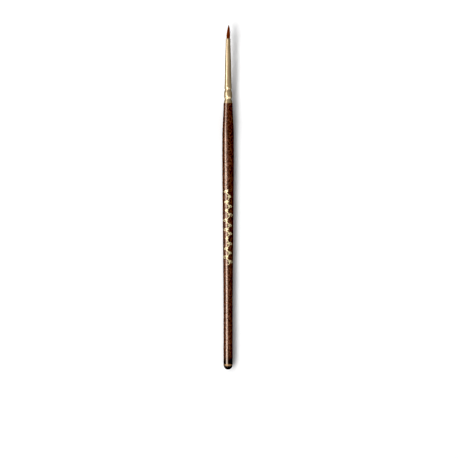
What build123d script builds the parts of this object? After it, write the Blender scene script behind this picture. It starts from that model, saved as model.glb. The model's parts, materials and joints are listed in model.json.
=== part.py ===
from build123d import *
import math
import os

os.makedirs("parts", exist_ok=True)

# ---------------------------------------------------------------- driving dimensions, mm
# The brush lies on a table along Y with its hair at +Y and its axis level.
# Stations along the axis are measured from the handle's rounded end towards the hair tip.
TOTAL_LENGTH = 180.0
BELLY_RADIUS = 3.0           # thickest part of the handle, and the axis height over the table
REAR_RADIUS = 2.36           # straight rear of the handle
SHOULDER_RADIUS = 2.32       # handle beside the ferrule's end
SHOULDER_STATION = 139.0     # where the ferrule ends and the handle's shoulder starts
MOUTH_STATION = 172.6        # where the hair leaves the ferrule
TENON_STATION = 151.0        # end of the handle inside the ferrule
TENON_CHAMFER = (0.35, 0.6)  # depth and length of the chamfer on that end
SHOULDER_ROUND = 0.12        # rounded edge of the shoulder
SHOULDER_INSET = 0.035       # how far the middle of that round lies inside its corner
PIVOT_STATION = 173.1        # where the free hair bends

FERRULE_WALL = 0.20
GLUE_FILM = 0.05             # adhesive between the ferrule and the tenon
DIP_THICKNESS = 0.08
DIP_STATION = 6.3            # edge of the black dip
RING_STATIONS = (1.95, 2.95)  # gold ring round the dipped end
RING_THICKNESS = 0.03
FOIL_THICKNESS = 0.03
SKIN_CLEARANCE = 0.005       # bedding gap under the ring and the foil
FOIL_REAR = 54.6             # stations of the stamped vine's two ends
FOIL_FRONT = 93.6
FOIL_BENDS = 16              # half waves of its stem
FOIL_STROKE = 0.40           # width of the stem
STEM_SWING = 0.76            # mean sideways reach of the stem
CURL_RADIUS = 0.66           # mean largest radius of a tendril
CURL_STROKE = 0.30
CURL_STEP = 48               # degrees between the points of a tendril
CURL_SHRINK = 0.095          # share of its largest radius lost at each of them
LEAF_LENGTHS = (1.10, 0.95)  # leaf at the crest of a bend, and the one beyond it

ROOT_RADIUS = 0.94           # hair bundle where it fills the ferrule's mouth
ROOT_FULL_STATION = 167.5    # where the bundle reaches that radius
ROOT_WAIST = 0.84            # hair bundle under the thread
ROOT_WAIST_MARGIN = 0.25     # bare waist beside the thread's ends
ROOT_END_RADIUS = 1.02       # flared cut end of the hair
ROOT_STATION = 160.5         # cut end of the hair inside the ferrule
SEAT_STATION = 172.45        # end of the fixed hair
TUFT_BALL = 0.90             # round base of the free hair
SEAT_CLEARANCE = 0.03

THREAD_RADIUS = 0.075
THREAD_TURNS = 6
THREAD_STATION = 162.6
THREAD_PITCH = 0.17

GLUE_STATIONS = (158.8, 164.8)   # epoxy plug round the hair's cut end

# Ferrule outside, mouth to tenon: a slim cone that eases into a straighter tube.
CONE_POINTS = [
    (1.155, MOUTH_STATION), (1.29, 168.5), (1.425, 164.5), (1.53, 161.0),
    (1.595, 157.0), (1.65, 152.8), (1.695, TENON_STATION),
]
# Ferrule outside over the tenon: crest, crimp, round bead, crimp and flared rim.
CRIMP_POINTS = [
    (1.695, TENON_STATION), (1.76, 149.4), (1.85, 147.7), (1.87, 147.1), (1.76, 146.55),
    (1.655, 146.0), (1.78, 145.45), (1.98, 144.9), (2.07, 144.1), (2.10, 143.0),
    (2.05, 142.2), (1.88, 141.65), (1.75, 141.1), (1.88, 140.55), (2.06, 140.0),
    (2.16, SHOULDER_STATION),
]
# Handle outside, shoulder to belly, then belly to the straight rear.
NECK_POINTS = [
    (SHOULDER_RADIUS, SHOULDER_STATION - SHOULDER_ROUND), (2.38, 136.4), (2.52, 133.3), (2.685, 130.1),
    (2.84, 127.0), (2.965, 123.5), (BELLY_RADIUS, 119.0),
]
TAPER_POINTS = [
    (BELLY_RADIUS, 108.0), (2.965, 101.0), (2.885, 91.0), (2.80, 81.0),
    (2.68, 69.0), (2.565, 56.0), (2.45, 43.0), (REAR_RADIUS, 26.0),
]
# Rounded end of the handle, from the straight rear to the axis.
DOME_POINTS = [
    (REAR_RADIUS, 5.4), (2.355, 4.0), (2.33, 3.0), (2.27, 2.3), (2.16, 1.75),
    (2.01, 1.3), (1.77, 0.85), (1.40, 0.42), (0.80, 0.10), (0.0, 0.0),
]
# Free hair from its widest ring to the tip.
HAIR_POINTS = [
    (0.90, PIVOT_STATION), (0.93, 173.9), (0.86, 175.2), (0.73, 176.5),
    (0.56, 177.8), (0.37, 178.8), (0.20, 179.5), (0.05, 179.95),
]


# ---------------------------------------------------------------- helpers
def along(radius, station):
    """A profile point: radius from the brush axis and station along it."""
    return (radius, 0, station)


def curve(points, first=None, last=None):
    """Smooth profile edge through points, with optional end directions."""
    places = [along(*point) for point in points]
    if first is None and last is None:
        return Spline(*places)
    return Spline(*places, tangents=[along(*first), along(*last)])


def beside(edge, outward, count=60):
    """Points a fixed distance outside (or, if negative, inside) a profile edge that runs rearwards."""
    points = []
    for step in range(count + 1):
        place = edge.position_at(step / count)
        slope = edge.tangent_at(step / count)
        points.append((place.X - slope.Z * outward, place.Z + slope.X * outward))
    return points


def radius_at(edge, station):
    """Radius of a profile edge whose stations fall from its start to its end."""
    low, high = 0.0, 1.0
    for _ in range(40):
        middle = (low + high) / 2
        if edge.position_at(middle).Z > station:
            low = middle
        else:
            high = middle
    return edge.position_at(low).X


def chain(points):
    """Straight profile edges through points."""
    return Polyline(*[along(*point) for point in points])


def lathe(*edges):
    """Solid of revolution about the axis from edges that close one outline."""
    outline = make_face(Wire(edge for piece in edges for edge in piece.edges()))
    return revolve(outline, Axis.Z)


def lie_down(shape):
    """Turn the axis from +Z to +Y and set the belly on the table, centred on the length."""
    return Pos(0, -TOTAL_LENGTH / 2, BELLY_RADIUS) * Rot(-90, 0, 0) * shape


def save(node, shape):
    shape.label = node
    export_step(shape, f"parts/{node}.step")


# ---------------------------------------------------------------- shared profile edges
MOUTH_BORE = CONE_POINTS[0][0] - FERRULE_WALL
CONE = curve(CONE_POINTS, (0.033, -1), (0.035, -1))
CRIMP = curve(CRIMP_POINTS, (0.035, -1), (0.08, -1))
NECK = curve(NECK_POINTS, (0.01, -1), (0, -1))
TAPER = curve(TAPER_POINTS, (0, -1), (0, -1))
DOME = curve(DOME_POINTS, (0, -1), (-1, 0))


# ---------------------------------------------------------------- ferrule and its glue
def ferrule():
    """Drawn metal tube with a rounded lip and two rolled crimps."""
    lip_inside = along(MOUTH_BORE, MOUTH_STATION)
    cone_in = beside(CONE, -FERRULE_WALL, 24)
    cone_in[0] = (MOUTH_BORE, MOUTH_STATION)
    bore = curve(cone_in)
    crimp_in = beside(CRIMP, -FERRULE_WALL)
    crimp_in[0] = cone_in[-1]
    crimp_in[-1] = (crimp_in[-1][0], SHOULDER_STATION)
    lip = ThreePointArc(
        CONE @ 0,
        along((MOUTH_BORE + CONE_POINTS[0][0]) / 2, MOUTH_STATION + FERRULE_WALL * 0.35),
        lip_inside,
    )
    rim = Line(along(*crimp_in[-1]), CRIMP @ 1)
    return lathe(CONE, CRIMP, rim, curve(crimp_in), bore, lip)


def film_points(depth):
    """Stations under the crimped stretch of the ferrule, ended square at the shoulder."""
    points = beside(CRIMP, -depth)
    points[-1] = (points[-1][0], SHOULDER_STATION)
    return points


def tenon_glue():
    """Adhesive film that follows the crimps between ferrule and tenon."""
    outer = film_points(FERRULE_WALL)
    inner = film_points(FERRULE_WALL + GLUE_FILM)
    front = Line(along(*inner[0]), along(*outer[0]))
    back = Line(along(*outer[-1]), along(*inner[-1]))
    return lathe(curve(outer), back, curve(inner), front)


# ---------------------------------------------------------------- handle and its coatings
def dip_inside():
    """Wood surface under the dip, ended on the axis."""
    points = beside(DOME, -DIP_THICKNESS, 30)
    points[0] = (REAR_RADIUS - DIP_THICKNESS, DOME_POINTS[0][1])
    points[-1] = (0.0, DIP_THICKNESS)
    return points


def handle():
    """Turned wood: dome, straight rear, long taper, belly, neck, shoulder and tenon."""
    tenon = film_points(FERRULE_WALL + GLUE_FILM)
    tenon_end = tenon[0]
    shoulder = ThreePointArc(
        along(SHOULDER_RADIUS - SHOULDER_ROUND, SHOULDER_STATION),
        along(SHOULDER_RADIUS - SHOULDER_INSET, SHOULDER_STATION - SHOULDER_INSET),
        along(SHOULDER_RADIUS, SHOULDER_STATION - SHOULDER_ROUND),
    )
    chamfer_depth, chamfer_length = TENON_CHAMFER
    nose = TENON_STATION + chamfer_length
    wood_end = dip_inside()
    return lathe(
        chain([(0, nose), (tenon_end[0] - chamfer_depth, nose), tenon_end]),
        curve(tenon),
        chain([tenon[-1], (SHOULDER_RADIUS - SHOULDER_ROUND, SHOULDER_STATION)]),
        shoulder,
        NECK,
        chain([NECK_POINTS[-1], TAPER_POINTS[0]]),
        TAPER,
        chain([
            TAPER_POINTS[-1], (REAR_RADIUS, DIP_STATION),
            (REAR_RADIUS - DIP_THICKNESS, DIP_STATION), wood_end[0],
        ]),
        curve(wood_end),
        chain([(0, DIP_THICKNESS), (0, nose)]),
    )


def end_dip():
    """Black lacquer cup over the rounded end, flush with the straight rear."""
    wood_end = dip_inside()
    return lathe(
        chain([(REAR_RADIUS, DIP_STATION), DOME_POINTS[0]]),
        DOME,
        chain([(0, 0), (0, DIP_THICKNESS)]),
        curve(wood_end),
        chain([
            wood_end[0], (REAR_RADIUS - DIP_THICKNESS, DIP_STATION), (REAR_RADIUS, DIP_STATION),
        ]),
    )


def skin(edge, front, rear, thickness, count):
    """Thin sleeve that lies just clear of a lathe profile between two stations."""
    step = (front - rear) / count
    stations = [front - step * number for number in range(count + 1)]
    bed = curve([(radius_at(edge, station) + SKIN_CLEARANCE, station) for station in stations])
    top = curve(beside(bed, thickness, count))
    return lathe(top, Line(top @ 1, bed @ 1), bed, Line(bed @ 0, top @ 0))


def end_ring():
    """Gold ring laid on the dip where the straight rear turns into the dome."""
    return skin(DOME, RING_STATIONS[1], RING_STATIONS[0], RING_THICKNESS, 8)


# ---------------------------------------------------------------- hair, thread and epoxy
def hair_root():
    """Fixed hair: cut end, waist under the thread, and a round seat for the free hair."""
    seat = TUFT_BALL + SEAT_CLEARANCE
    seat_floor = PIVOT_STATION - seat
    seat_edge = math.sqrt(seat ** 2 - (PIVOT_STATION - SEAT_STATION) ** 2)
    halfway = math.asin(seat_edge / seat) / 2
    waist_front = THREAD_STATION + THREAD_PITCH * THREAD_TURNS + ROOT_WAIST_MARGIN
    waist_back = THREAD_STATION - ROOT_WAIST_MARGIN
    side = curve(
        [(ROOT_RADIUS, ROOT_FULL_STATION), (0.92, 165.6), (ROOT_WAIST, waist_front)],
        (0, -1), (0, -1),
    )
    flare = curve(
        [(ROOT_WAIST, waist_back), (0.93, 161.5), (ROOT_END_RADIUS, ROOT_STATION)],
        (0, -1), (0.1, -1),
    )
    return lathe(
        chain([
            (seat_edge, SEAT_STATION), (ROOT_RADIUS, SEAT_STATION), (ROOT_RADIUS, ROOT_FULL_STATION),
        ]),
        side,
        chain([(ROOT_WAIST, waist_front), (ROOT_WAIST, waist_back)]),
        flare,
        chain([(ROOT_END_RADIUS, ROOT_STATION), (0, ROOT_STATION), (0, seat_floor)]),
        ThreePointArc(
            along(0, seat_floor),
            along(seat * math.sin(halfway), PIVOT_STATION - seat * math.cos(halfway)),
            along(seat_edge, SEAT_STATION),
        ),
    )


def hair_tuft():
    """Free hair: round base inside the mouth, slight belly, and a point."""
    base = ThreePointArc(
        along(0, PIVOT_STATION - TUFT_BALL),
        along(TUFT_BALL * math.sin(math.pi / 4), PIVOT_STATION - TUFT_BALL * math.cos(math.pi / 4)),
        along(TUFT_BALL, PIVOT_STATION),
    )
    sides = curve(HAIR_POINTS, (0, 1), (-0.32, 1))
    blunt = HAIR_POINTS[-1][0]
    tip = ThreePointArc(
        sides @ 1,
        along(blunt * math.sin(math.pi / 4), TOTAL_LENGTH - blunt * (1 - math.cos(math.pi / 4))),
        along(0, TOTAL_LENGTH),
    )
    return lathe(base, sides, tip, chain([(0, TOTAL_LENGTH), (0, PIVOT_STATION - TUFT_BALL)]))


def binding_thread():
    """Thread wound round the waist of the hair."""
    path = Helix(
        THREAD_PITCH, THREAD_PITCH * THREAD_TURNS, ROOT_WAIST + THREAD_RADIUS,
        center=(0, 0, THREAD_STATION),
    )
    section = Plane(origin=path @ 0, z_dir=path % 0) * Circle(THREAD_RADIUS)
    return sweep(section, path)


def root_glue():
    """Epoxy plug that pots the cut end, with a pocket round the thread."""
    back, front = GLUE_STATIONS
    gap = FERRULE_WALL + 0.01
    pocket = ROOT_WAIST + 2 * THREAD_RADIUS + 0.02
    return lathe(chain([
        (0, back), (radius_at(CONE, back) - gap, back), (radius_at(CONE, 161.0) - gap, 161.0),
        (radius_at(CONE, front) - gap, front), (pocket, front), (pocket, THREAD_STATION - ROOT_WAIST_MARGIN),
        (1.04, 161.7), (1.04, ROOT_STATION), (0, ROOT_STATION), (0, back),
    ]))


# ---------------------------------------------------------------- stamped flourish
def liveliness(turn):
    """Factor that makes some bends of the vine larger than others, as if drawn by hand."""
    return 1 + 0.22 * math.sin(2.1 * turn) + 0.14 * math.sin(0.77 * turn + 1)


def stem_place(turn):
    """Point of the winding stem in the plan (across, station); turn counts half waves."""
    half_wave = (FOIL_FRONT - FOIL_REAR) / FOIL_BENDS
    across = STEM_SWING * liveliness(turn) * math.sin(math.pi * turn)
    return (across, FOIL_REAR + half_wave * (turn + 0.12 * math.sin(1.3 * turn)))


def stroke(points, width):
    """Flat line of even width through points in the plan."""
    return trace(Spline(*points), width)


def curl(bend, side):
    """Tendril that leaves the stem at the crest of a bend and winds inwards outside it."""
    across, station = stem_place(bend + 0.5)
    largest = CURL_RADIUS * liveliness(bend)
    points = [stem_place(bend + 0.38)]
    for step in range(8):
        angle = math.radians(CURL_STEP * step)
        radius = largest * (1 - CURL_SHRINK * step)
        points.append((
            across + side * (largest - radius * math.cos(angle)),
            station + radius * math.sin(angle),
        ))
    return stroke(points, CURL_STROKE)


def leaf(place, length, heading):
    """Pointed leaf that starts on the stem, its heading counted from across."""
    half = length * 0.27
    outline = [
        Spline((0, 0), (length * 0.4, half), (length, 0)),
        Spline((length, 0), (length * 0.4, -half), (0, 0)),
    ]
    return Pos(*place) * Rot(0, 0, heading) * make_face(outline)


def flourish_plan():
    """Winding stem with a curl and two leaves at every bend."""
    crest_leaf, far_leaf = LEAF_LENGTHS
    plan = stroke([stem_place(step / 4) for step in range(FOIL_BENDS * 4 + 1)], FOIL_STROKE)
    for bend in range(FOIL_BENDS):
        side = -1 if bend % 2 else 1
        plan += curl(bend, side)
        plan += leaf(stem_place(bend + 0.48), crest_leaf * liveliness(bend + 3), 90 + side * 62)
        plan += leaf(stem_place(bend + 0.62), far_leaf, 90 - side * 38)
    return plan


def foil_flourish():
    """Thin gold layer on top of the handle, cut to the flourish."""
    sleeve = skin(TAPER, FOIL_FRONT + 2, FOIL_REAR - 2, FOIL_THICKNESS, 8)
    cutter = extrude(Pos(0, -TOTAL_LENGTH / 2, BELLY_RADIUS) * flourish_plan(), BELLY_RADIUS * 2)
    return lie_down(sleeve) & cutter


# ---------------------------------------------------------------- files
save("handle", lie_down(handle()))
save("end_dip", lie_down(end_dip()))
save("end_ring", lie_down(end_ring()))
save("foil_flourish", foil_flourish())
save("ferrule", lie_down(ferrule()))
save("tenon_glue", lie_down(tenon_glue()))
save("root_glue", lie_down(root_glue()))
save("binding_thread", lie_down(binding_thread()))
save("hair_root", lie_down(hair_root()))
save("hair_tuft", lie_down(hair_tuft()))
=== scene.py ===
import json
import math
import random

import bpy
import numpy as np
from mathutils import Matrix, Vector

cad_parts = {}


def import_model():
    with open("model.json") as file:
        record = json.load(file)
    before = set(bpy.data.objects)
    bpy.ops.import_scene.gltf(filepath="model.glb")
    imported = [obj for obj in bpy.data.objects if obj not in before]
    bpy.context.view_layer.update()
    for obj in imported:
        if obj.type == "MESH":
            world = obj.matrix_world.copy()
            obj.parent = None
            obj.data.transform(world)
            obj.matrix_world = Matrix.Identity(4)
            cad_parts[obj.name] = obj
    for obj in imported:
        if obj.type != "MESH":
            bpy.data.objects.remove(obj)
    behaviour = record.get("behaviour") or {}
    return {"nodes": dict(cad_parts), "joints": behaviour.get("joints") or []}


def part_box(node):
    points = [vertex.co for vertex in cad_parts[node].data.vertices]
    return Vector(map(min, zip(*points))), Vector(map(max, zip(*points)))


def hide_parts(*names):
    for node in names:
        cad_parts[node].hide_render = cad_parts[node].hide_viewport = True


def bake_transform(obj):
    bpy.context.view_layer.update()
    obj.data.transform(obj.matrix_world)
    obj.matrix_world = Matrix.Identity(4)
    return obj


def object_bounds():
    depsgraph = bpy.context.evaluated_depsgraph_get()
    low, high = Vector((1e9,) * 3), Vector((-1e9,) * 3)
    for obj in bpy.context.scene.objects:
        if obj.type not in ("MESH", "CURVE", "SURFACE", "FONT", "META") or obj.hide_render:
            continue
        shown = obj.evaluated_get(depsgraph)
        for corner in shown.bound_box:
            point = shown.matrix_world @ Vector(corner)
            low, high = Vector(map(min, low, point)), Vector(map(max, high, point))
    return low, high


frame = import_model()
cad_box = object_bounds()

MM = 0.001
scene = bpy.context.scene
collection = scene.collection

# ---------------------------------------------------------------- places read from the frame
LOW, HIGH = cad_box
AXIS_X = (LOW.x + HIGH.x) / 2
AXIS_Z = (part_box("handle")[0].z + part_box("handle")[1].z) / 2
REAR_Y = LOW.y
TIP_Y = HIGH.y
LENGTH = TIP_Y - REAR_Y
MOUTH_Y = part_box("ferrule")[1].y
RIM_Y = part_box("ferrule")[0].y
DIP_EDGE_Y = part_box("end_dip")[1].y
RING_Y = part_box("end_ring")[0].y
PIVOT = Vector(frame["joints"][0]["pos_m"])


def outer_rings(node):
    """(y, radius) of a turned CAD node's surface where it faces outwards."""
    mesh = frame["nodes"][node].data
    found = {}
    for face in mesh.polygons:
        radial = Vector((face.center.x - AXIS_X, 0, face.center.z - AXIS_Z))
        if radial.length < 1e-9 or face.normal.dot(radial.normalized()) < 0.02:
            continue
        for index in face.vertices:
            place = mesh.vertices[index].co
            radius = math.hypot(place.x - AXIS_X, place.z - AXIS_Z)
            found.setdefault(round(place.y, 7), []).append(radius)
    return sorted((y, max(radii)) for y, radii in found.items())


def smooth_radius(points):
    """Radius at any y: cubic through a profile's rings, with slopes that never overshoot."""
    same_ring = 0.002 * MM
    ys = np.array([y for y, _ in points])
    rs = np.array([radius for _, radius in points])
    keep = np.concatenate(([True], np.diff(ys) > same_ring))
    ys, rs = ys[keep], rs[keep]
    steps = np.diff(ys)
    slopes = np.diff(rs) / steps
    tangents = np.zeros(len(ys))
    tangents[0], tangents[-1] = slopes[0], slopes[-1]
    for i in range(1, len(ys) - 1):
        if slopes[i - 1] * slopes[i] > 0:
            a, b = 2 * steps[i] + steps[i - 1], steps[i] + 2 * steps[i - 1]
            tangents[i] = (a + b) / (a / slopes[i - 1] + b / slopes[i])

    def radius_at(y):
        i = int(np.clip(np.searchsorted(ys, y) - 1, 0, len(steps) - 1))
        h = steps[i]
        t = min(max((y - ys[i]) / h, 0), 1)
        return float(
            rs[i] * (1 + 2 * t) * (1 - t) ** 2 + tangents[i] * h * t * (1 - t) ** 2
            + rs[i + 1] * t * t * (3 - 2 * t) + tangents[i + 1] * h * t * t * (t - 1)
        )
    return radius_at


# ---------------------------------------------------------------- node trees
def grey(value):
    return (value, value, value)


class Nodes:
    """Small builder for one node tree. A value is a number, a colour or another node's output."""

    def __init__(self, tree):
        self.tree = tree
        self.tree.nodes.clear()

    def add(self, kind, **values):
        node = self.tree.nodes.new(kind)
        for key, value in values.items():
            setattr(node, key, value)
        return node

    def link(self, source, target):
        self.tree.links.new(source, target)

    def fill(self, socket, value):
        if isinstance(value, (int, float)):
            socket.default_value = value
        elif isinstance(value, tuple):
            socket.default_value = (*value, 1.0)
        else:
            self.link(value, socket)

    def ramp(self, value, stops):
        """Colour ramp whose stops are written from left to right."""
        node = self.add("ShaderNodeValToRGB")
        elements = node.color_ramp.elements
        elements.remove(elements[1])
        elements[0].position = stops[0][0]
        elements[0].color = (*stops[0][1], 1.0)
        for position, colour in stops[1:]:
            elements.new(position).color = (*colour, 1.0)
        self.link(value, node.inputs["Fac"])
        return node.outputs["Color"]

    def mix(self, factor, first, second, blend="MIX"):
        node = self.add("ShaderNodeMix", data_type="RGBA", blend_type=blend)
        colours = [socket for socket in node.inputs if socket.type == "RGBA"]
        for socket, value in zip((node.inputs["Factor"], *colours), (factor, first, second)):
            self.fill(socket, value)
        return [socket for socket in node.outputs if socket.type == "RGBA"][0]

    def spread(self, value, start, end, low=0.0, high=1.0, shape="LINEAR"):
        """Carry value from start..end over to low..high, held at both ends."""
        node = self.add("ShaderNodeMapRange", interpolation_type=shape)
        for name, number in (("From Min", start), ("From Max", end), ("To Min", low), ("To Max", high)):
            node.inputs[name].default_value = number
        self.link(value, node.inputs["Value"])
        return node.outputs["Result"]


class Material(Nodes):
    """One material round a Principled shader."""

    def __init__(self, name):
        self.material = bpy.data.materials.new(name)
        self.material.use_nodes = True
        super().__init__(self.material.node_tree)
        self.shader = self.add("ShaderNodeBsdfPrincipled")
        output = self.add("ShaderNodeOutputMaterial")
        self.link(self.shader.outputs["BSDF"], output.inputs["Surface"])

    def set(self, **values):
        """Give the shader's sockets a number or colour that is the same all over the surface."""
        for key, value in values.items():
            self.shader.inputs[key.replace("_", " ")].default_value = value

    def drive(self, **outputs):
        """Link the shader's sockets to values that vary over the surface."""
        for key, output in outputs.items():
            self.link(output, self.shader.inputs[key.replace("_", " ")])

    def place(self, stretch=(1.0, 1.0, 1.0)):
        """Object coordinates, stretched along each axis."""
        coordinates = self.add("ShaderNodeTexCoord")
        mapping = self.add("ShaderNodeMapping")
        mapping.inputs["Scale"].default_value = stretch
        self.link(coordinates.outputs["Object"], mapping.inputs["Vector"])
        return mapping.outputs["Vector"]

    def station(self):
        """Object coordinate along the brush."""
        split = self.add("ShaderNodeSeparateXYZ")
        self.link(self.place(), split.inputs["Vector"])
        return split.outputs["Y"]

    def noise(self, vector, scale, detail, roughness=0.55, distortion=0.0):
        node = self.add("ShaderNodeTexNoise")
        for name, number in (
            ("Scale", scale), ("Detail", detail), ("Roughness", roughness), ("Distortion", distortion),
        ):
            node.inputs[name].default_value = number
        self.link(vector, node.inputs["Vector"])
        return node.outputs["Fac"]

    def attribute(self, name):
        return self.add("ShaderNodeAttribute", attribute_name=name).outputs["Fac"]

    def bump(self, height, strength, distance):
        node = self.add("ShaderNodeBump")
        node.inputs["Strength"].default_value = strength
        node.inputs["Distance"].default_value = distance
        self.link(height, node.inputs["Height"])
        self.drive(Normal=node.outputs["Normal"])


# ---------------------------------------------------------------- materials
def lacquer(name, worn_end):
    """Dark brown mottle, like sponged tortoiseshell, that fades to black over the dipped end.

    Behind the ring the dip is worn, so it shines less there.
    """
    m = Material(name)
    space = m.place((1.0, 0.72, 1.0))
    flecks = m.noise(space, 1400.0, 4.0, 0.6, 0.7)
    clouds = m.noise(space, 330.0, 3.0, 0.5, 0.3)
    warm = m.ramp(flecks, [
        (0.36, (0.032, 0.0085, 0.0060)), (0.46, (0.080, 0.0265, 0.0155)),
        (0.54, (0.148, 0.055, 0.032)), (0.66, (0.26, 0.110, 0.064)),
    ])
    shade = m.ramp(clouds, [(0.33, (0.78, 0.74, 0.72)), (0.66, (1.12, 1.12, 1.12))])
    brown = m.mix(1.0, warm, shade, "MULTIPLY")
    black = m.ramp(flecks, [(0.35, (0.0035, 0.0012, 0.0008)), (0.7, (0.016, 0.006, 0.0035))])
    station = m.station()
    depth = m.spread(station, DIP_EDGE_Y + 1.2 * MM, DIP_EDGE_Y - 2.2 * MM, shape="SMOOTHSTEP")
    m.drive(Base_Color=m.mix(depth, brown, black), Roughness=m.spread(flecks, 0.0, 1.0, 0.13, 0.19))
    if worn_end:
        gloss = m.spread(station, RING_Y - 0.1 * MM, RING_Y + 0.3 * MM, 0.14, 0.5, "SMOOTHSTEP")
        m.drive(Specular_IOR_Level=gloss)
    m.set(IOR=2.3, Specular_Tint=(1.0, 0.84, 0.70, 1.0))
    ripple = m.noise(m.place((1.0, 0.35, 1.0)), 420.0, 2.0, 0.5)
    m.bump(ripple, 0.07, 0.03 * MM)
    return m.material


def gold(name, light, dark, rough_low, rough_high, grain, metallic):
    """Speckled gold of the ring and the stamped foil."""
    m = Material(name)
    speckle = m.noise(m.place(), grain, 4.0, 0.6)
    m.drive(
        Base_Color=m.ramp(speckle, [(0.3, dark), (0.62, light)]),
        Roughness=m.spread(speckle, 0.0, 1.0, rough_low, rough_high),
    )
    m.set(Metallic=metallic)
    m.bump(speckle, 0.12, 0.02 * MM)
    return m.material


def ferrule_metal():
    """Polished pale gold plating with fine turning lines and faint stains."""
    m = Material("ferrule_metal")
    turning = m.noise(m.place((0.3, 14.0, 0.3)), 900.0, 4.0, 0.6)
    stain = m.noise(m.place((1.0, 0.6, 1.0)), 260.0, 4.0, 0.6)
    tone = m.ramp(stain, [(0.3, (0.63, 0.475, 0.285)), (0.62, (0.73, 0.565, 0.35))])
    lines = m.ramp(turning, [(0.3, grey(0.88)), (0.65, grey(1.0))])
    m.drive(
        Base_Color=m.mix(1.0, tone, lines, "MULTIPLY"),
        Roughness=m.spread(stain, 0.0, 1.0, 0.17, 0.24),
    )
    m.set(Metallic=0.40, IOR=2.1)
    m.bump(turning, 0.06, 0.02 * MM)
    return m.material


def hair_material():
    """Reddish-brown hair: each strand its own tone, darker at the mouth and paler at the tip."""
    m = Material("hair")
    tone = m.attribute("strand")
    base = m.ramp(tone, [
        (0.0, (0.13, 0.022, 0.003)), (0.5, (0.28, 0.062, 0.008)), (1.0, (0.46, 0.135, 0.024)),
    ])
    fade = m.ramp(m.attribute("along"), [
        (0.0, (0.72, 0.66, 0.60)), (0.35, (1.0, 1.0, 1.0)), (1.0, (1.05, 0.92, 0.80)),
    ])
    m.drive(
        Base_Color=m.mix(1.0, base, fade, "MULTIPLY"),
        Roughness=m.spread(tone, 0.0, 1.0, 0.34, 0.46),
    )
    m.set(Specular_IOR_Level=0.45)
    return m.material


def hidden_filler(name, light, dark, grain, rough):
    """Cloudy finish of the glue and the thread inside the ferrule."""
    m = Material(name)
    cloud = m.noise(m.place(), grain, 4.0)
    m.drive(
        Base_Color=m.ramp(cloud, [(0.3, dark), (0.7, light)]),
        Roughness=m.spread(cloud, 0.0, 1.0, rough - 0.06, rough + 0.06),
    )
    m.bump(cloud, 0.2, 0.03 * MM)
    return m.material


WOOD = lacquer("lacquered_wood", worn_end=False)
DIP = lacquer("black_lacquer", worn_end=True)
RING = gold("gold_band", (0.34, 0.23, 0.135), (0.25, 0.16, 0.09), 0.34, 0.46, 2600.0, 0.7)
FOIL = gold("gold_foil", (0.93, 0.84, 0.55), (0.78, 0.67, 0.38), 0.32, 0.46, 3200.0, 0.3)
METAL = ferrule_metal()
HAIR = hair_material()
EPOXY = hidden_filler("epoxy", (0.55, 0.40, 0.18), (0.42, 0.28, 0.11), 1800.0, 0.2)
THREAD = hidden_filler("thread", (0.66, 0.60, 0.48), (0.50, 0.44, 0.32), 5200.0, 0.6)

for node, material in (
    ("end_ring", RING), ("foil_flourish", FOIL), ("tenon_glue", EPOXY), ("root_glue", EPOXY),
    ("binding_thread", THREAD), ("hair_root", HAIR), ("end_dip", DIP), ("ferrule", METAL),
    ("handle", WOOD), ("hair_tuft", HAIR),
):
    mesh = frame["nodes"][node].data
    mesh.materials.clear()
    mesh.materials.append(material)


# ---------------------------------------------------------------- hair
STRANDS = 300
STRAND_SIDES = 5
STRAND_STEPS = 16
STRAND_RADIUS = 0.052 * MM
STRAND_WAVE = 0.10                     # largest turn about the axis along a strand, in radians
GOLDEN_ANGLE = math.pi * (3 - math.sqrt(5))
HAIR_START_Y = MOUTH_Y - 1.6 * MM      # hidden inside the ferrule
TIP_LEAN = 0.34 * MM                   # the point of the tuft sits a little to +X
TUFT_FULLNESS = 0.06 * MM              # how far the tuft swells past its CAD outline, halfway along

tuft_radius = smooth_radius([ring for ring in outer_rings("hair_tuft") if ring[0] > PIVOT.y])


def bundle_radius(y):
    """Radius of the whole bundle: parallel in the mouth, then the tuft's own outline."""
    if y <= PIVOT.y:
        return tuft_radius(PIVOT.y)
    t = (y - PIVOT.y) / (TIP_Y - PIVOT.y)
    return tuft_radius(y) + TUFT_FULLNESS * math.sin(math.pi * t)


def free_share(y):
    """Place along the free hair: 0 up to the mouth, 1 at the tip."""
    return max(0.0, (y - MOUTH_Y) / (TIP_Y - MOUTH_Y))


def add_tube(verts, faces, centres, radii):
    """Add one strand's tapering tube along its centres, closed at both ends."""
    first = len(verts)
    for (x, y, z), radius in zip(centres, radii):
        for k in range(STRAND_SIDES):
            turn = 2 * math.pi * k / STRAND_SIDES
            verts.append((x + radius * math.cos(turn), y, z + radius * math.sin(turn)))
    for row in range(len(centres) - 1):
        for k in range(STRAND_SIDES):
            a = first + row * STRAND_SIDES + k
            b = first + row * STRAND_SIDES + (k + 1) % STRAND_SIDES
            faces.append((a, b, b + STRAND_SIDES, a + STRAND_SIDES))
    faces.append(tuple(first + k for k in reversed(range(STRAND_SIDES))))
    last = first + (len(centres) - 1) * STRAND_SIDES
    faces.append(tuple(last + k for k in range(STRAND_SIDES)))


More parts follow.
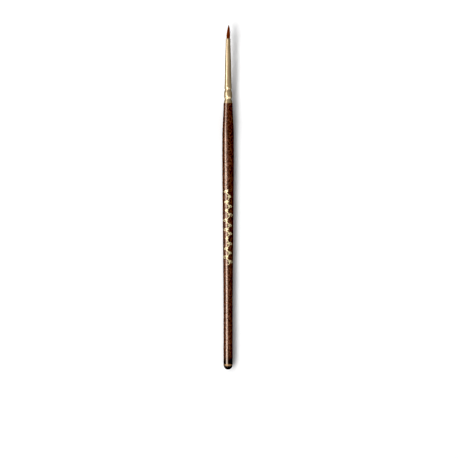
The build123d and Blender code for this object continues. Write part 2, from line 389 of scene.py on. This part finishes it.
def strand_path(chance, share, turn):
    """Centres and radii of one hair: share is its place from the axis (0) to the outside (1)."""
    shortfall = (0.02 + chance.random() ** 2.2 * 0.62) * (0.25 + 0.75 * share)
    end_y = TIP_Y - (TIP_Y - MOUTH_Y) * shortfall
    wave = chance.uniform(-1, 1)
    phase = chance.uniform(0, 2 * math.pi)
    size = chance.uniform(0.85, 1.15)
    centres, radii = [], []
    for step in range(STRAND_STEPS + 1):
        t = step / STRAND_STEPS
        y = HAIR_START_Y + (end_y - HAIR_START_Y) * (1 - (1 - t) ** 1.25)
        bundle = bundle_radius(y)
        squeeze = bundle / tuft_radius(PIVOT.y)
        radius = STRAND_RADIUS * size * max(0.22, min(1.0, squeeze * 1.15)) * (1 - 0.80 * t ** 4)
        reach = max(0.0, bundle - radius) * share
        angle = turn + STRAND_WAVE * wave * math.sin(3.0 * t + phase)
        lean = TIP_LEAN * free_share(y) ** 0.6
        centres.append((AXIS_X + lean + reach * math.sin(angle), y, AXIS_Z + reach * math.cos(angle)))
        radii.append(radius)
    return centres, radii


def hair():
    """The brush's hair: separate strands that leave the mouth together and close to a point."""
    chance = random.Random(11)
    verts, faces, tones, places = [], [], [], []
    for k in range(STRANDS):
        share = math.sqrt((k + 0.5) / STRANDS)
        centres, radii = strand_path(chance, share, k * GOLDEN_ANGLE)
        add_tube(verts, faces, centres, radii)
        tones.extend([chance.random()] * (STRAND_SIDES * len(centres)))
        for _, y, _ in centres:
            places.extend([free_share(y)] * STRAND_SIDES)
    mesh = bpy.data.meshes.new("hair_strands")
    mesh.from_pydata(verts, [], faces)
    mesh.validate()
    mesh.polygons.foreach_set("use_smooth", [True] * len(mesh.polygons))
    mesh.materials.append(HAIR)
    for name, values in (("strand", tones), ("along", places)):
        mesh.attributes.new(name, "FLOAT", "POINT").data.foreach_set("value", values)
    made = bpy.data.objects.new("hair_strands", mesh)
    collection.objects.link(made)
    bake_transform(made)
    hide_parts("hair_tuft")


hair()


# ---------------------------------------------------------------- floor
FLOOR_GAIN = 0.95            # grey of the paper as the camera sees it
PAINTED_LIGHT_UNDER_FERRULE = 0.13            # painted light: how much lighter the paper is painted under the ferrule, so that the ferrule's shadow there reads lighter
GLOSSY_FLOOR = 0.05          # its grey in reflections
BOUNCE_FLOOR = 0.25          # its grey in the light that it returns
HALF_FLOOR = 3.0


def steps_between(start, end, count):
    return [start + (end - start) * k / count for k in range(count + 1)]


def floor_paper():
    """Matt white paper that answers camera, reflection and bounce rays with its own greys. For the
    camera its grey is painted lighter under the ferrule and hair, a painted light that lightens the
    ferrule's shadow there.
    """
    m = Material("floor_paper")
    rays = m.add("ShaderNodeLightPath")
    bounce = m.mix(rays.outputs["Is Glossy Ray"], grey(BOUNCE_FLOOR), grey(GLOSSY_FLOOR))
    front = m.spread(m.station(), RIM_Y - 10 * MM, TIP_Y)
    # painted light: the camera's grey of the paper rises under the ferrule and hair, then falls back
    # near the tip
    paper = m.ramp(front, [
        (0.0, grey(FLOOR_GAIN)), (0.35, grey(FLOOR_GAIN + PAINTED_LIGHT_UNDER_FERRULE)),
        (0.72, grey(FLOOR_GAIN + PAINTED_LIGHT_UNDER_FERRULE)), (0.9, grey(FLOOR_GAIN)),
    ])
    m.drive(Base_Color=m.mix(rays.outputs["Is Camera Ray"], bounce, paper))
    m.set(Roughness=0.9, Specular_IOR_Level=0.1)
    return m.material


def floor():
    """Level under the belly, falling a little under the rear and more under the ferrule and hair."""
    rear, belly = REAR_Y + 22 * MM, REAR_Y + 92 * MM
    start, end = RIM_Y - 22 * MM, RIM_Y + 26 * MM
    rear_fall = 0.55 * MM
    front_fall = 3.9 * MM
    stations = (
        [-HALF_FLOOR] + steps_between(rear, belly, 8) + steps_between(start, end, 24) + [HALF_FLOOR]
    )
    verts = []
    for y in stations:
        back = min(max((belly - y) / (belly - rear), 0.0), 1.0)
        front = min(max((y - start) / (end - start), 0.0), 1.0)
        z = -rear_fall * back - front_fall * front * front * (3 - 2 * front)
        verts += [(-HALF_FLOOR, y, z), (HALF_FLOOR, y, z)]
    faces = [(2 * k, 2 * k + 1, 2 * k + 3, 2 * k + 2) for k in range(len(stations) - 1)]
    mesh = bpy.data.meshes.new("floor")
    mesh.from_pydata(verts, [], faces)
    mesh.materials.append(floor_paper())
    made = bpy.data.objects.new("floor", mesh)
    collection.objects.link(made)


# ---------------------------------------------------------------- light
BACKDROP = 0.97              # grey of the sky where the camera sees it
# brightness of the sky against the angle from overhead, in degrees, -X side first
SOFT_SKY = (
    (-90, 0.40), (-50, 0.5), (-38, 3.0), (-29, 5.2), (-20, 2.6), (-8, 0.66), (0, 0.56), (20, 0.52),
    (60, 0.36), (90, 0.2),
)
GLOSS_SKY = (
    (-90, 0.34), (-54, 0.42), (-41, 3.2), (-32, 9.0), (-23, 5.2), (-14, 1.3), (-4, 0.42), (6, 0.26),
    (24, 0.15), (50, 0.09), (90, 0.06),
)
# the same light's share along the brush: place 0 is the rear horizon, 0.5 overhead, 1 the front
SOFT_ALONG = ((0.0, 0.4), (0.14, 0.9), (0.32, 1.9), (0.42, 1.7), (0.55, 0.7), (1.0, 0.3))
GLOSS_ALONG = (
    (0.0, 0.15), (0.12, 0.3), (0.26, 1.6), (0.44, 1.15), (0.5, 0.98), (0.53, 0.84), (0.56, 0.66),
    (0.59, 0.52), (0.7, 0.35), (1.0, 0.25),
)
# a soft reflection low over the rear, which the rounded end catches
REAR_GLOW = ((0.10, 0.0), (0.22, 0.8), (0.28, 1.0), (0.40, 0.0))
REAR_GLOW_COLOUR = (1.6, 1.6, 1.55)
# the reflected band lies slantwise: its turn in degrees at two places along the sky
SLANT = ((-0.045, -1), (0.045, 26))


def greys(stops):
    return [(place, grey(value)) for place, value in stops]


def world():
    """Sky that depends on the angle across the brush; its reflection is a slightly slanted band."""
    made = bpy.data.worlds.new("studio")
    scene.world = made
    made.use_nodes = True
    n = Nodes(made.node_tree)

    def across_sky(angle, stops):
        """Brightness of a sky whose stops are angles from overhead, positive towards +X."""
        place = n.spread(angle, -math.pi / 2, math.pi / 2)
        return n.ramp(place, greys([((degrees + 90) / 180, value) for degrees, value in stops]))

    def light(colour, strength=1.0):
        node = n.add("ShaderNodeBackground")
        n.fill(node.inputs["Color"], colour)
        n.fill(node.inputs["Strength"], strength)
        return node.outputs["Background"]

    def either(factor, first, second):
        node = n.add("ShaderNodeMixShader")
        for socket, value in zip(node.inputs, (factor, first, second)):
            n.link(value, socket)
        return node.outputs["Shader"]

    split = n.add("ShaderNodeSeparateXYZ")
    n.link(n.add("ShaderNodeTexCoord").outputs["Generated"], split.inputs["Vector"])
    across = n.add("ShaderNodeMath", operation="ARCTAN2")
    n.link(split.outputs["X"], across.inputs[0])
    n.link(split.outputs["Z"], across.inputs[1])
    along = n.spread(split.outputs["Y"], -1, 1)

    (start, start_turn), (end, end_turn) = SLANT
    slanted = n.add("ShaderNodeMath", operation="ADD")
    n.link(across.outputs["Value"], slanted.inputs[0])
    n.link(n.spread(split.outputs["Y"], start, end, math.radians(start_turn), math.radians(end_turn)),
           slanted.inputs[1])

    soft = light(across_sky(across.outputs["Value"], SOFT_SKY), n.ramp(along, greys(SOFT_ALONG)))
    gloss = n.mix(
        n.ramp(along, greys(REAR_GLOW)), across_sky(slanted.outputs["Value"], GLOSS_SKY),
        REAR_GLOW_COLOUR,
    )
    rays = n.add("ShaderNodeLightPath")
    lit = either(rays.outputs["Is Glossy Ray"], soft, light(gloss, n.ramp(along, greys(GLOSS_ALONG))))
    seen = either(rays.outputs["Is Camera Ray"], lit, light(grey(BACKDROP)))
    n.link(seen, n.add("ShaderNodeOutputWorld").inputs["Surface"])


# ---------------------------------------------------------------- camera
PICTURE_WIDTH = 1.3287 * LENGTH
PICTURE_MIDDLE_X = AXIS_X + 0.0027 * LENGTH
PICTURE_MIDDLE_Y = (REAR_Y + TIP_Y) / 2 - 0.0927 * LENGTH
CAMERA_HEIGHT = 0.95
SENSOR_WIDTH = 36.0          # millimetres, as Blender counts lenses


def camera():
    """Straight down, hair towards the top of the picture."""
    data = bpy.data.cameras.new("camera")
    data.sensor_width = SENSOR_WIDTH
    data.lens = SENSOR_WIDTH * (CAMERA_HEIGHT - AXIS_Z) / PICTURE_WIDTH
    data.clip_start = 0.01
    data.clip_end = 50.0
    made = bpy.data.objects.new("camera", data)
    collection.objects.link(made)
    made.location = (PICTURE_MIDDLE_X, PICTURE_MIDDLE_Y, CAMERA_HEIGHT)
    made.rotation_euler = (0, 0, 0)
    scene.camera = made


floor()
world()
camera()
scene.view_settings.view_transform = "Standard"
scene.view_settings.gamma = 0.85
scene.view_settings.use_curve_mapping = True
scene.view_settings.curve_mapping.black_level = (0.028, 0.028, 0.028)
